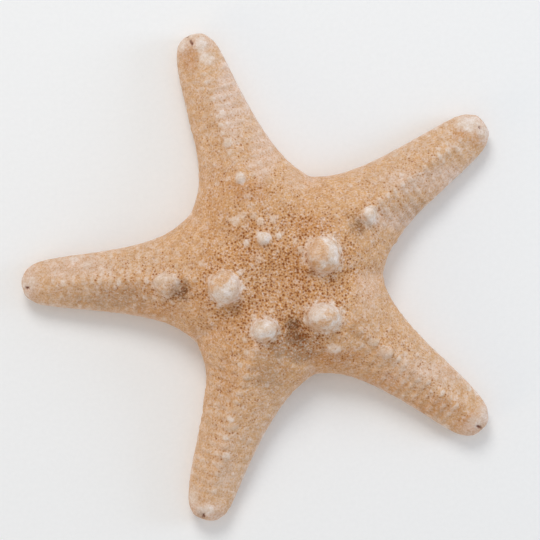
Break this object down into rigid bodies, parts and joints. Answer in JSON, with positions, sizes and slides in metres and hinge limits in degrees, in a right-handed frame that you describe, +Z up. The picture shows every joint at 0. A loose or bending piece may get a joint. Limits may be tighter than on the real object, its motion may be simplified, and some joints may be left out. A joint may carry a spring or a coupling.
{
  "type": "dried starfish",
  "caption": "Dried knobby starfish with blunt tapering arms, rounded knobs on top and open furrows along its flat underside.",
  "frame": {"origin": "centre of the bounding box in X and Y, on the flat underside", "axes": "+Z up out of the knobbed side, +Y along the longest span of the arms, +X to the right of it seen from above"},
  "size_m": [0.12, 0.1252, 0.0234],
  "materials": {
    "dried_skin": "matte, chalky and pitted"
  },
  "bodies": {
    "root": {"starfish": "dried_skin"}
  },
  "joints": []
}
